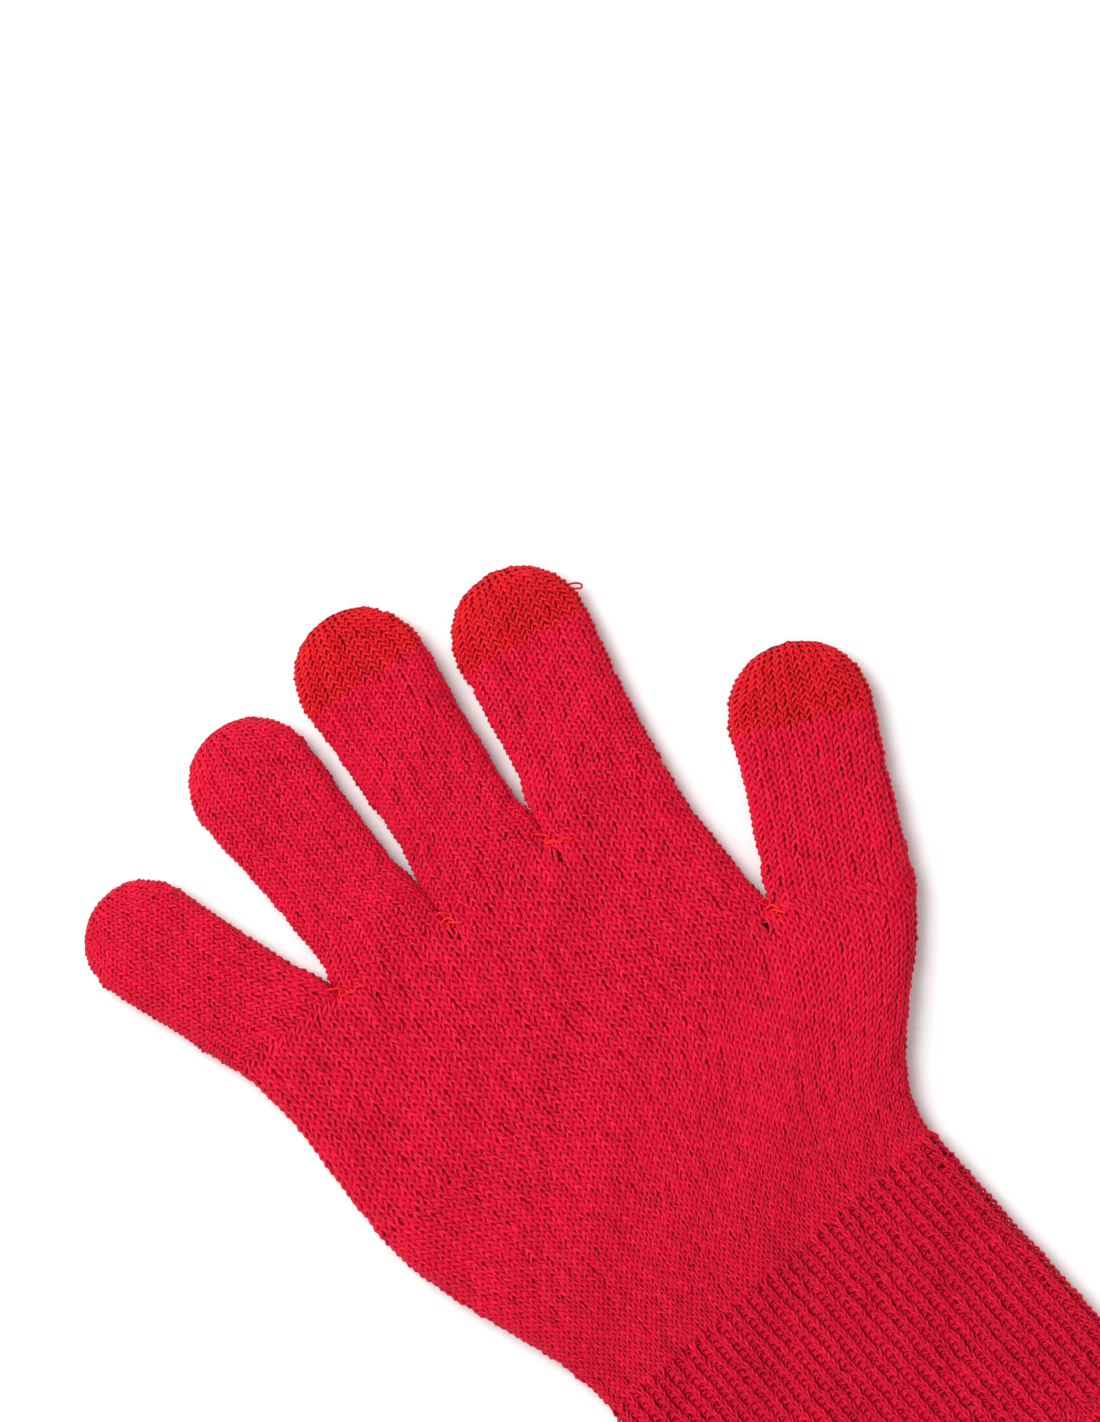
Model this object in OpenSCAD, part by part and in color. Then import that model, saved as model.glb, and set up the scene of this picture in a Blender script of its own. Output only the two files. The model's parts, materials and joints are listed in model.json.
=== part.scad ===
// Knitted glove for the right hand, lying palm up, with touch tips on the thumb and two fingers.
// Millimetres. +Y runs from the wrist to the fingertips, +X towards the thumb, +Z up out of the palm.
// The origin is the middle of the middle finger's root, on the surface that the glove lies on.

/* [Fabric] */
// Thickness of one layer of knitted fabric
fabric_t = 1.9; // [1.4:0.05:2.3]
// Height of the hollow between the two layers
hollow_h = 4.8; // [4.6:0.1:8]
// Thickness of the yarn that closes the forks
yarn_d = 0.9; // [0.6:0.05:1.2]
// Gap between two parts that bend against each other
bend_gap = 0.2; // [0.1:0.05:0.5]

/* [Palm] */
// Length from the wrist to the knuckle line
palm_l = 88; // [72:1:110]
// How much the thumb's side of the palm draws in between the index finger and the thumb
palm_draw_in = 3.6; // [1:0.1:6]
// Width at the wrist
wrist_w = 79; // [62:0.5:96]
// Distance from the thumb's side of the palm in to the wrist's side
wrist_step = 7.8; // [4:0.1:12]
// Depth of the short finger roots that belong to the palm
root_l = 2.2; // [1.5:0.1:6]

/* [Cuff] */
// Length of the ribbed cuff with its edge
cuff_l = 60; // [40:1:90]
// Width of the open end
cuff_w = 81; // [64:0.5:98]
// Length of the overlocked edge
edge_l = 4; // [3:0.5:8]
// How much thicker the overlocked edge is than the fabric
edge_extra = 0.2; // [0.05:0.05:0.3]
// Number of elastic threads knitted into the cuff
elastic_count = 5; // [3:1:7]
// Distance between the elastic threads
elastic_pitch = 8; // [5:0.5:8]
// Thickness of an elastic thread
elastic_d = 0.7; // [0.5:0.05:0.9]

/* [Fingers, in the order index, middle, ring, little] */
// Widths at the roots
finger_root_w = [26, 23.4, 22.8, 24.2]; // [18:0.1:32]
// Widths at the rounded tips
finger_tip_w = [26.6, 26, 25.2, 23.4]; // [16:0.1:32]
// Lengths from root to tip
finger_l = [46.7, 58.1, 53.3, 42.7]; // [35:0.1:72]
// Lengths from the root to the middle bend
finger_bend_l = [17, 21, 19.5, 15]; // [12:0.5:22]
// Leans towards the thumb in degrees
finger_lean = [14, 8, 2.4, -16]; // [-18:0.1:18]
// Distances of the roots past the knuckle line
finger_rise = [-1, 0.5, 2.5, 4.5]; // [-1:0.1:6]
/* [Finger spacing] */
// Gap between the roots of two fingers
finger_gap = 0.6; // [0.4:0.1:2]

/* [Thumb] */
// Width at the root
thumb_root_w = 28.6; // [22:0.1:34]
// Width at the rounded tip
thumb_tip_w = 27.8; // [20:0.1:34]
// Length from root to tip
thumb_l = 47; // [38:0.5:60]
// Length from the root to the middle bend
thumb_bend_l = 18; // [12:0.5:20]
// Lean away from the palm in degrees
thumb_lean = 28.5; // [15:0.5:40]
// Distance from the knuckle line down to the thumb's fork
thumb_drop = 35.8; // [28:0.1:46]

/* [Tips] */
// Length of the straight stretch of a tip, below its rounded end
tip_straight_l = 1.3; // [0.6:0.1:4]

/* [Hidden] */

EPS = 0.02;
// How far one solid runs into the next where two are joined
JOIN = 1;
// Steps of a half-round side, of a rounded tip, and sides of a thread
ARC_STEPS = 7;
TIP_STEPS = 64;
THREAD_SIDES = 6;

// A fork stitch: half its widest wrap, the distance between wraps, their number, and how much narrower
// each wrap is than the one before, as a share of the widest
STITCH_REACH = 2;
STITCH_STEP = 0.8;
STITCH_WRAPS = 6;
STITCH_TAPER = 1 / 12;
// Its loose tail: points along it, where it starts as a share of the reach, the size of its wave,
// the turn of the wave per point, and how much each point lies higher than the one before
TAIL_POINTS = 4;
TAIL_START = 0.6;
TAIL_WAVE = 0.7;
TAIL_TURN = 60;
TAIL_RISE = 0.1;
// Distance from the thumb's fork in to its stitch
THUMB_STITCH_IN = 2.5;

YARN_COLOR = [0.72, 0.05, 0.13];
TOUCH_COLOR = [0.83, 0.06, 0.07];
ELASTIC_COLOR = [0.55, 0.10, 0.14];

glove_h = hollow_h + 2 * fabric_t;

// Digits are numbered from the thumb to the little finger.
THUMB = 0;
INDEX = 1;
MIDDLE = 2;
RING = 3;
LITTLE = 4;

middle_edge = finger_root_w[1] / 2;
index_x = middle_edge + finger_gap + finger_root_w[0] / 2;
ring_x = -(middle_edge + finger_gap + finger_root_w[2] / 2);
little_x = ring_x - finger_root_w[2] / 2 - finger_gap - finger_root_w[3] / 2;
finger_x = [index_x, 0, ring_x, little_x];

palm_thumb_side = index_x + finger_root_w[0] / 2;
palm_little_side = little_x - finger_root_w[3] / 2;
thumb_fork = [palm_thumb_side - palm_draw_in, -thumb_drop];
wrist_thumb_side = palm_thumb_side - wrist_step;
wrist_x = wrist_thumb_side - wrist_w / 2;

function along(lean) = [sin(lean), cos(lean)];
function across(lean) = [cos(lean), -sin(lean)];

root_w = concat([thumb_root_w], finger_root_w);
tip_w = concat([thumb_tip_w], finger_tip_w);
digit_l = concat([thumb_l], finger_l);
bend_l = concat([thumb_bend_l], finger_bend_l);
lean = concat([thumb_lean], finger_lean);

// A finger bends about a line across the glove, and the thumb about a line across itself.
bend_lean = [thumb_lean, 0, 0, 0, 0];
root_at = concat(
    [thumb_fork + thumb_root_w / 2 * across(thumb_lean)],
    [for (i = [0 : 3]) [finger_x[i], finger_rise[i]]]
);
tip_at = [for (d = [THUMB : LITTLE]) root_at[d] + (digit_l[d] - tip_w[d] / 2) * along(lean[d])];

// A station is [middle, lean, width] of a cross-section.
function root_station(d) = [root_at[d], bend_lean[d], root_w[d]];
function tip_station(d) = [tip_at[d], lean[d], tip_w[d]];
function bend_station(d) =
    let (share = bend_l[d] / (digit_l[d] - tip_w[d] / 2))
    [root_at[d] + bend_l[d] * along(lean[d]), bend_lean[d], root_w[d] + share * (tip_w[d] - root_w[d])];
function straight_station(d) = shifted(tip_station(d), -tip_straight_l);
function shifted(station, by) = [station[0] + by * along(station[1]), station[1], station[2]];

// Outline of a flattened tube: flat top and bottom with half-round sides.
function flat_tube(w, h) = concat(
    [for (i = [0 : ARC_STEPS]) let (a = -90 + 180 * i / ARC_STEPS)
        [w / 2 - h / 2 + h / 2 * cos(a), h / 2 + h / 2 * sin(a)]],
    [for (i = [0 : ARC_STEPS]) let (a = 90 + 180 * i / ARC_STEPS)
        [-w / 2 + h / 2 + h / 2 * cos(a), h / 2 + h / 2 * sin(a)]]
);

// The outline of a station as points in space, inset on every side.
function ring(station, inset) =
    [for (p = flat_tube(station[2] - 2 * inset, glove_h - 2 * inset))
        let (q = station[0] + p[0] * across(station[1]))
        [q[0], q[1], p[1] + inset]];

// Solid through a row of rings that all have the same number of points.
module loft(rings) {
    n = len(rings[0]);
    last = len(rings) - 1;
    sides = [for (k = [0 : last - 1], i = [0 : n - 1]) each [
        [k * n + i, k * n + (i + 1) % n, (k + 1) * n + (i + 1) % n],
        [k * n + i, (k + 1) * n + (i + 1) % n, (k + 1) * n + i]
    ]];
    near_end = [[for (i = [n - 1 : -1 : 0]) i]];
    far_end = [[for (i = [0 : n - 1]) last * n + i]];
    polyhedron(points = [for (r = rings) each r], faces = concat(near_end, sides, far_end));
}

module solid_tube(stations) {
    loft([for (s = stations) ring(s, 0)]);
}

module hollow_tube(stations, wall) {
    last = len(stations) - 1;
    loft([for (i = [0 : last])
        ring(shifted(stations[i], i == 0 ? -EPS : i == last ? EPS : 0), wall)]);
}

// A tube of fabric that is open at both ends.
module fabric_tube(stations, wall = fabric_t) {
    difference() {
        solid_tube(stations);
        hollow_tube(stations, wall);
    }
}

// The short straight stretch of fabric of a tip, below its rounded end.
module tip_straight(d) {
    translate([tip_at[d][0], tip_at[d][1], 0])
        rotate([90, 0, -lean[d]])
            linear_extrude(tip_straight_l)
                difference() {
                    polygon(flat_tube(tip_w[d], glove_h));
                    translate([0, fabric_t])
                        polygon(flat_tube(tip_w[d] - 2 * fabric_t, hollow_h));
                }
}

// The closed, rounded end of a digit.
module round_end(d) {
    r = tip_w[d] / 2;
    outer = [for (i = [0 : ARC_STEPS]) let (a = -90 + 180 * i / ARC_STEPS)
        [r - glove_h / 2 + glove_h / 2 * cos(a), glove_h / 2 * (1 + sin(a))]];
    inner = [for (i = [ARC_STEPS : -1 : 0]) let (a = -90 + 180 * i / ARC_STEPS)
        [r - glove_h / 2 + hollow_h / 2 * cos(a), fabric_t + hollow_h / 2 * (1 + sin(a))]];
    ends = [[0, glove_h], [0, glove_h - fabric_t]];
    translate([tip_at[d][0], tip_at[d][1], 0])
        rotate([0, 0, -lean[d]])
            rotate_extrude(angle = 180, $fn = TIP_STEPS)
                polygon(concat([[0, 0]], outer, ends, inner, [[0, fabric_t]]));
}

// A thread along a row of points that lie nearly level.
module thread(points, d) {
    last = len(points) - 1;
    loft([for (k = [0 : last])
        let (
            run = points[min(k + 1, last)] - points[max(k - 1, 0)],
            side = [run[1], -run[0], 0] / norm([run[0], run[1]])
        )
        [for (i = [0 : THREAD_SIDES - 1])
            let (a = 360 * i / THREAD_SIDES)
            points[k] + d / 2 * (cos(a) * side + sin(a) * [0, 0, 1])]]);
}

// The palm's fabric, with the short roots of the four fingers and the thumb's side panel.
module hand_body(inset) {
    front = -root_l - inset;
    palm = [
        [[wrist_x, -palm_l], 0, wrist_w],
        [[(thumb_fork[0] + palm_little_side) / 2, -thumb_drop], 0, thumb_fork[0] - palm_little_side],
        [[(palm_thumb_side + palm_little_side) / 2, front], 0, palm_thumb_side - palm_little_side]
    ];
    panel = [
        [[wrist_thumb_side - thumb_root_w / 2, -palm_l], 0, thumb_root_w],
        root_station(THUMB)
    ];
    open = inset > 0 ? EPS : 0;
    loft([for (i = [0 : 2]) ring(i == 0 ? shifted(palm[0], -open) : palm[i], inset)]);
    loft([ring(shifted(panel[0], -open), inset), ring(shifted(panel[1], open), inset)]);
    for (f = [INDEX : LITTLE]) {
        inside = [[root_at[f][0], front - JOIN], 0, root_w[f]];
        loft([ring(inside, inset), ring(shifted(root_station(f), open), inset)]);
    }
}

module hand_tube() {
    color(YARN_COLOR)
        difference() {
            hand_body(0);
            hand_body(fabric_t);
        }
}

// Overcast yarn across a fork, with its cut end lying on the palm. It bites into the fabric.
module fork_stitch(at, turn) {
    height = glove_h + yarn_d / 5;
    last_y = -STITCH_STEP * (STITCH_WRAPS - 1);
    zigzag = [for (i = [0 : STITCH_WRAPS - 1])
        let (side = i % 2 == 0 ? -1 : 1)
        [side * STITCH_REACH * (1 - STITCH_TAPER * i), -STITCH_STEP * i, height]];
    tail = [for (i = [1 : TAIL_POINTS])
        [STITCH_REACH * TAIL_START + i, last_y + TAIL_WAVE * sin(TAIL_TURN * i), height + TAIL_RISE * i]];
    color(TOUCH_COLOR)
        translate([at[0], at[1], 0])
            rotate([0, 0, turn])
                thread(concat(zigzag, tail), yarn_d);
}

module finger_fork_stitch(f) {
    x = (root_at[f][0] - root_w[f] / 2 + root_at[f + 1][0] + root_w[f + 1] / 2) / 2;
    fork_stitch([x, -root_l - yarn_d], 0);
}

// The cuff runs from the wrist to its open end.
wrist_station = [[wrist_x, -palm_l - bend_gap], 180, wrist_w];
edge_station = [[wrist_x, -palm_l - cuff_l + edge_l], 180, cuff_w];
mouth_station = [[wrist_x, -palm_l - cuff_l], 180, cuff_w];

module cuff_rib() {
    color(YARN_COLOR)
        fabric_tube([wrist_station, edge_station]);
}

module cuff_edge() {
    color(YARN_COLOR)
        fabric_tube([edge_station, mouth_station], fabric_t + edge_extra);
}

// Closed loop of elastic, laid in the middle of the fabric.
module elastic_loop(y, w) {
    n = 2 * (ARC_STEPS + 1);
    inset = fabric_t / 2;
    outer = flat_tube(w - 2 * inset + elastic_d, glove_h - 2 * inset + elastic_d);
    inner = flat_tube(w - 2 * inset - elastic_d, glove_h - 2 * inset - elastic_d);
    points = [for (i = [0 : n - 1]) each [
        [outer[i][0], 0, outer[i][1] + inset - elastic_d / 2],
        [(outer[i][0] + inner[i][0]) / 2, elastic_d / 2, (outer[i][1] + inner[i][1]) / 2 + inset],
        [inner[i][0], 0, inner[i][1] + inset + elastic_d / 2],
        [(outer[i][0] + inner[i][0]) / 2, -elastic_d / 2, (outer[i][1] + inner[i][1]) / 2 + inset]
    ]];
    faces = [for (i = [0 : n - 1], s = [0 : 3]) each [
        [i * 4 + s, ((i + 1) % n) * 4 + (s + 1) % 4, i * 4 + (s + 1) % 4],
        [i * 4 + s, ((i + 1) % n) * 4 + s, ((i + 1) % n) * 4 + (s + 1) % 4]
    ]];
    translate([wrist_x, y, 0])
        polyhedron(points = points, faces = faces);
}

module cuff_elastic() {
    middle = -palm_l - (cuff_l - edge_l) / 2;
    color(ELASTIC_COLOR)
        for (i = [0 : elastic_count - 1]) {
            y = middle + (i - (elastic_count - 1) / 2) * elastic_pitch;
            down = (-palm_l - y) / (cuff_l - edge_l);
            elastic_loop(y, wrist_w + down * (cuff_w - wrist_w));
        }
}

module digit_base(d) {
    color(YARN_COLOR)
        fabric_tube([shifted(root_station(d), bend_gap), bend_station(d)]);
}

// The outer part of a digit, up to its tip.
module digit_end(d) {
    color(YARN_COLOR)
        fabric_tube([shifted(bend_station(d), bend_gap), straight_station(d)]);
}

// The closed tip of a digit.
module digit_tip(d, tip_color) {
    color(tip_color) {
        tip_straight(d);
        round_end(d);
    }
}

hand_tube();
fork_stitch(thumb_fork + [-THUMB_STITCH_IN, -yarn_d], -thumb_lean);  // fork_stitch_thumb_index
finger_fork_stitch(INDEX);  // fork_stitch_index_middle
finger_fork_stitch(MIDDLE);  // fork_stitch_middle_ring
finger_fork_stitch(RING);  // fork_stitch_ring_little
cuff_rib();
cuff_elastic();
cuff_edge();
digit_base(THUMB);  // thumb_base
digit_end(THUMB);  // thumb_end
digit_tip(THUMB, TOUCH_COLOR);  // thumb_touch_tip
digit_base(INDEX);  // index_base
digit_end(INDEX);  // index_end
digit_tip(INDEX, TOUCH_COLOR);  // index_touch_tip
digit_base(MIDDLE);  // middle_base
digit_end(MIDDLE);  // middle_end
digit_tip(MIDDLE, TOUCH_COLOR);  // middle_touch_tip
digit_base(RING);  // ring_base
digit_end(RING);  // ring_end
digit_tip(RING, YARN_COLOR);  // ring_tip
digit_base(LITTLE);  // little_base
digit_end(LITTLE);  // little_end
digit_tip(LITTLE, YARN_COLOR);  // little_tip
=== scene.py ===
"""A knitted glove for touch screens, lying palm up on white, seen straight from above.

Every stitch is a real loop of yarn. The glove is a set of flattened tubes. Each tube is a grid of points
with one column per wale (a column of stitches) and one row per course (a row of stitches), and the yarn of
a course follows its row as a wavy closed thread. Lengths are in metres.
"""

import json
import math

import bpy
import numpy as np
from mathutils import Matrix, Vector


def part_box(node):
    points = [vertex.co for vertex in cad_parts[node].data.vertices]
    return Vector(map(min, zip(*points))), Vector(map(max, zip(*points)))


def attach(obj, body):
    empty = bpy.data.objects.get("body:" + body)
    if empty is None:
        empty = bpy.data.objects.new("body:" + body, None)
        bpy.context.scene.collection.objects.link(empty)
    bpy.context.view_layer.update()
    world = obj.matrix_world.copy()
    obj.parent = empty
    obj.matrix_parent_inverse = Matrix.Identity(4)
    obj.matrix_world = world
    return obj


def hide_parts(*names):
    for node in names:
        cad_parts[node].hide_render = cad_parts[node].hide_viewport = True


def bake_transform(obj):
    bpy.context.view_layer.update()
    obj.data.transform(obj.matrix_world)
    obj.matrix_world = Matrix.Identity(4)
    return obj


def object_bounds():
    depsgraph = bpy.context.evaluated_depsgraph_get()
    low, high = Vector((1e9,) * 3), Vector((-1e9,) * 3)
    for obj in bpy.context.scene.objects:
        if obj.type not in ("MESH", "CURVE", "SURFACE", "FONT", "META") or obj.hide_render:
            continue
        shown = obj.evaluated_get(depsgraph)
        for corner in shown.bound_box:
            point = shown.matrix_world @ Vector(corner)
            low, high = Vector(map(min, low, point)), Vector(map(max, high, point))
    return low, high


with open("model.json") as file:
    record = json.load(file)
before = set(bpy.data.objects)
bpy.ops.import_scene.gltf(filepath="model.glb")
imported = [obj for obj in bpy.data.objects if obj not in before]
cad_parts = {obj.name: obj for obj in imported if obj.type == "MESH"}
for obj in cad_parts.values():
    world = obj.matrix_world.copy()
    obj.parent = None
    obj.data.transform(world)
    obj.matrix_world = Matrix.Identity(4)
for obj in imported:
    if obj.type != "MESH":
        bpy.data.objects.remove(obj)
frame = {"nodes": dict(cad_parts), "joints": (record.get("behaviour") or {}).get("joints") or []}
cad_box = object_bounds()

MM = 0.001
SEED = 11
# Keeps a division by a length from a division by zero.
TINY = 1e-12

# The section of a flattened tube, measured at the middle of the fabric's thickness.
BOTTOM_Z = 1.0 * MM
EDGE_Z = 2.9 * MM
TOP_Z = 5.9 * MM
EDGE_ROUND = 4.6 * MM
OUTLINE_INSET = 0.38 * MM
COURSE_WOBBLE = 0.17 * MM
ACROSS_SAMPLES = 161

# Gentle unevenness of the top: its height, and for each of its waves the turn per millimetre across, the
# turn per millimetre along, and the start.
RIPPLE = 0.2 * MM
RIPPLE_WAVES = [(0.21, 0.13, 1.0), (0.11, -0.19, 0), (-0.27, 0.31, 0)]

# Yarns: their radius, the depth of a loop and of the groove between two wales, the width of a wale that the
# full yarn fits, and how thin it is squeezed at the least in a narrower one.
BODY_RADIUS = 0.385 * MM
TOUCH_RADIUS = 0.335 * MM
LOOP_DEPTH = 0.40 * MM
WALE_GROOVE = 0.5 * MM
FULL_WALE = 1.75 * MM
LEAST_SQUEEZE = 0.6

# The path of one loop: how far its legs lean in, in wales, how far it reaches up and down, in courses, and
# how unevenly it lies, in both.
BODY_LEAN = 0.27
TOUCH_LEAN = 0.33
LOOP_REACH = 1.0
STITCH_JITTER = 0.085

# How much a yarn's thickness varies in long waves and from stitch to stitch, and the waves' turn per point.
THICK_VARIATION = 0.09
THICK_JITTER = 0.05
THICK_WAVE = 0.23

# The points along a loop, and the sides of the yarn's section.
SAMPLES_PER_STITCH = 10
YARN_SIDES = 6

# The felted fibres behind the loops, which close the gaps between them.
LINING_DEPTH = 0.45 * MM

# The fine fibre ends that stand out of the yarn: how much they point outwards, how much their direction and
# their bend vary, and how much thinner they are at the end.
FUZZ_PER_STITCH = 1.4
FUZZ_LENGTH = (0.5 * MM, 1.5 * MM)
FUZZ_RADIUS = 0.016 * MM
FUZZ_OUTWARD = 0.7
FUZZ_SPREAD = 0.6
FUZZ_BEND = 0.5
FUZZ_TAPER = 0.6
FUZZ_POINTS = 4
FUZZ_SIDES = 3

# Small holes pulled open beside the forks: how far the yarn is pushed aside, how far around it moves, and
# how deep the felt sinks.
HOLE_RADIUS = 0.6 * MM
HOLE_REACH = 1.7 * MM
HOLE_SINK = 2 * MM

# Shares of the bake map's height for the loops, the felt and the fibre ends, and how much of its share a
# part fills.
LOOPS_SHARE = 0.86
LINING_SHARE = 0.08
FUZZ_SHARE = 0.06
BAKE_FILL = 0.98

# The lowest place of any point over the floor.
LEAST_Z = 0.05 * MM

# Stitches around and along each tube.
WALES_LOW_PALM = 128
WALES_HIGH_PALM = 98
COURSES_LOW_PALM = 36
COURSES_HIGH_PALM = 25
COURSES_CUFF = 38
COURSES_EDGE = 3

# The relief of the cuff's rib.
RIB_HEIGHT = 0.45 * MM

# The yarn wound around the rim of the cuff: its turns, where it lies in courses, and its reach from there.
RIM_WRAPS = 192
RIM_AT = -0.1
RIM_HALF_THICK = 0.7 * MM
RIM_HALF_L = 1.0 * MM

# Long tubes are knitted in bands of at most this many courses, so that no piece gets too heavy.
BAND_COURSES = 10

# The length of the cuff next to the wrist that is knitted as a piece of its own and left without a body.
CUFF_BLEND_L = 14 * MM

# The rounded tip: how far up its round outline the courses start, and their number.
TIP_CLOSE = math.radians(52)
TIP_COURSES = 12

# Over this length a digit's rows turn from its root's line to straight across it, and its wales from the
# palm's pitch to an even one. The wales near the middle, this many on each side, keep to the palm's pitch.
TURN_L = 14 * MM
KEPT_WALES = 5

# How much narrower a digit is halfway.
WAIST = 1.0 * MM

# Wales around, length of a course, and the length of the base piece up to where the end piece starts.
DIGITS = {
    "thumb": {"wales": 30, "course": 1.32 * MM, "base_l": 10.5 * MM, "touch": True},
    "index": {"wales": 28, "course": 1.16 * MM, "base_l": 10.5 * MM, "touch": True},
    "middle": {"wales": 28, "course": 1.10 * MM, "base_l": 10.5 * MM, "touch": True},
    "ring": {"wales": 28, "course": 1.13 * MM, "base_l": 10.5 * MM, "touch": False},
    "little": {"wales": 28, "course": 1.16 * MM, "base_l": 10 * MM, "touch": False},
}
FINGERS = ["index", "middle", "ring", "little"]

# A fork's crease is this much longer than it is wide.
FORK_STRETCH = 1.6

# How far up neighbouring fingers lie against each other, from index and middle to ring and little, and over
# what length the gap then opens.
FORK_CLOSED = [4 * MM, 7 * MM, 0.5 * MM]
FORK_OPENS = 7 * MM
PRESSED_GAP = 0.3 * MM

# Loose threads: smooth steps from point to point, radius, and how suddenly they end, as a power.
THREAD_STEPS = 6
THREAD_RADIUS = 0.23 * MM
THREAD_END = 8

# The yarn that closes the forks. Each thread is a row of points: across the fork, up from it and above the
# fabric, in millimetres.
DRAWN_LOOPS = [
    (-1.5, 2.4, -0.2),
    (-0.6, 1.7, 0.8),
    (0.3, 0.8, 0.8),
    (-0.4, -0.3, 0.9),
    (0.7, -0.8, 0.8),
    (1.2, -0.1, -0.2),
]
CROSS_LOOP = [
    (-1.3, -1.1, -0.2),
    (-0.5, -0.5, 0.9),
    (0.6, -0.4, 1.0),
    (1.3, -1.3, 0.8),
    (0.8, -2.1, 0.6),
    (0.3, -2.8, -0.6),
]
LOOSE_END = [
    (0.2, -1.3, -0.1),
    (1.1, -0.9, 0.9),
    (2.0, -1.6, 0.8),
    (2.9, -1.3, 0.9),
    (3.9, -2.1, 0.7),
    (4.4, -2.0, 0.6),
]
SHORT_END = [(-0.4, -1.8, -0.1), (0.4, -1.3, 0.8), (1.4, -2.0, 0.8), (2.1, -2.6, 0.6), (2.6, -2.3, 0.5)]
SMALL_LOOP = [(-0.9, 1.0, -0.3), (-0.1, 1.3, 0.7), (0.6, 0.5, 0.9), (0.1, -0.4, 0.8), (-0.7, -0.7, -0.2)]

# The forks: their threads, how much these are turned towards the thumb, and where the small hole lies from
# the fork, if there is one.
FORKS = {
    "fork_stitch_index_middle": {
        "threads": [DRAWN_LOOPS, CROSS_LOOP, LOOSE_END, SMALL_LOOP],
        "turn": 0.15,
        "hole": (-0.5 * MM, -3.4 * MM),
    },
    "fork_stitch_middle_ring": {
        "threads": [SMALL_LOOP, CROSS_LOOP, SHORT_END],
        "turn": 0.05,
        "hole": (-0.4 * MM, -3.0 * MM),
    },
    "fork_stitch_ring_little": {
        "threads": [DRAWN_LOOPS, SMALL_LOOP, LOOSE_END],
        "turn": -0.1,
    },
    "fork_stitch_thumb_index": {
        "threads": [CROSS_LOOP, SHORT_END, SMALL_LOOP],
        "turn": 0.3,
        "hole": (-2.9 * MM, -2.5 * MM),
    },
}

# A loop that has slipped out at the side of the index fingertip: across the finger and along it from its
# root, in millimetres, the yarn's radius, and how much it rises on its way out.
SLIPPED_LOOP = [
    (11.6, 38.0),
    (12.7, 37.9),
    (13.8, 37.4),
    (14.2, 36.8),
    (13.8, 36.4),
    (12.8, 36.8),
    (11.7, 36.9),
]
SLIPPED_RADIUS = 0.2 * MM
SLIPPED_RISE = 0.1

# Yarn: how the noise of its fibres is stretched around and along it, its scale, and the scale of the slow
# changes of colour over the fabric.
FIBRE_STRETCH = (2.2, 9, 1)
FIBRE_SCALE = 1.6
FIBRE_DETAIL = 3
PATCH_SCALE = 260
PATCH_DETAIL = 4

# How much the plies add to the relief; how much the relief lightens the colour, which paints shade into the
# ply grooves and adds uneven tone from the fibres; how much the yarn's outward side is painted lighter and
# its inward side painted darker, as painted light and shade; where the dark colour ends, and the strength of
# the bump.
PLY_RELIEF = 0.35
RELIEF_SHADE = 0.55
OUTWARD_PAINTED_SHADE = 0.4
DARK_UP_TO = 0.35
YARN_BUMP = 0.8
YARN_ROUGHNESS = 0.5
YARN_SPECULAR = 0.15
SHEEN_ROUGHNESS = 0.45
SHEEN_TINT = (1, 0.45, 0.55, 1)

# Felt: the scale of its fibres, the noise values of its two colours, and the height of its bumps.
FELT_SCALE = 1600
FELT_DETAIL = 3
FELT_DARK_UP_TO = 0.3
FELT_LIGHT_FROM = 0.75
FELT_BUMP = 0.2 * MM

# Studio: the floor's half side and grey, the world's light, and the softbox's place, size and power.
FLOOR_HALF = 6
FLOOR_GREY = 0.93
WORLD_LIGHT = 0.6
SOFTBOX_PLACE = (-0.25, 0.95, 1.1)
SOFTBOX_SIZE = 1.0
SOFTBOX_POWER = 24

# The photograph's view: where the middle of the picture lies, how the picture is turned, and how much of
# the glove's top it covers.
VIEW_CENTRE = (28.2 * MM, 17.5 * MM)
VIEW_TURN = math.radians(-41)
VIEW_HEIGHT = 263.3 * MM
CAMERA_Z = 1.2
SENSOR = 36

rng = np.random.default_rng(SEED)
joints = {j["name"]: j for j in frame["joints"]}


# ---------------------------------------------------------------- places from the frame


def hinge(name):
    """The joint's place, seen from above."""
    return np.array(joints[name]["pos_m"][:2])


def toward(angle):
    """The direction up the glove, turned towards the thumb by an angle."""
    return np.array([math.sin(angle), math.cos(angle)])


def across(angle):
    """The direction towards the thumb, at right angles to toward."""
    return np.array([math.cos(angle), -math.sin(angle)])


def measure_digit(name):
    """Root, lean, widths and rounded tip of a digit, from its two hinges and the boxes of its CAD nodes."""
    digit = dict(DIGITS[name], name=name)
    root = hinge(f"{name}_root_bend")
    run = hinge(f"{name}_middle_bend") - root
    lean = math.atan2(run[0], run[1])
    tip_node = next(n for n in (f"{name}_touch_tip", f"{name}_tip") if n in frame["nodes"])
    tip_low, tip_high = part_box(tip_node)
    side_x = tip_high[0] if lean >= 0 else tip_low[0]
    tip_l = ((tip_high[1] - root[1]) - abs(side_x - root[0])) / (math.cos(lean) - abs(math.sin(lean)))
    low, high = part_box(f"{name}_base")
    if name == "thumb":
        width = 2 * (root[0] - low[0]) / math.cos(lean)
    else:
        width = 2 * (root[0] - low[0]) if lean > 0 else 2 * (high[0] - root[0])
    digit.update(
        root=root,
        lean=lean,
        tip_l=tip_l,
        tip_radius=tip_high[1] - root[1] - tip_l * math.cos(lean) - OUTLINE_INSET,
        root_half=width / 2 - OUTLINE_INSET,
        tip_node=tip_node,
    )
    return digit


digits = {name: measure_digit(name) for name in DIGITS}
roots = np.array([digits[f]["root"] for f in reversed(FINGERS)])
knuckle_slope = (roots[-1][1] - roots[0][1]) / (roots[-1][0] - roots[0][0])
knuckle_turn = -math.atan(knuckle_slope)


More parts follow.
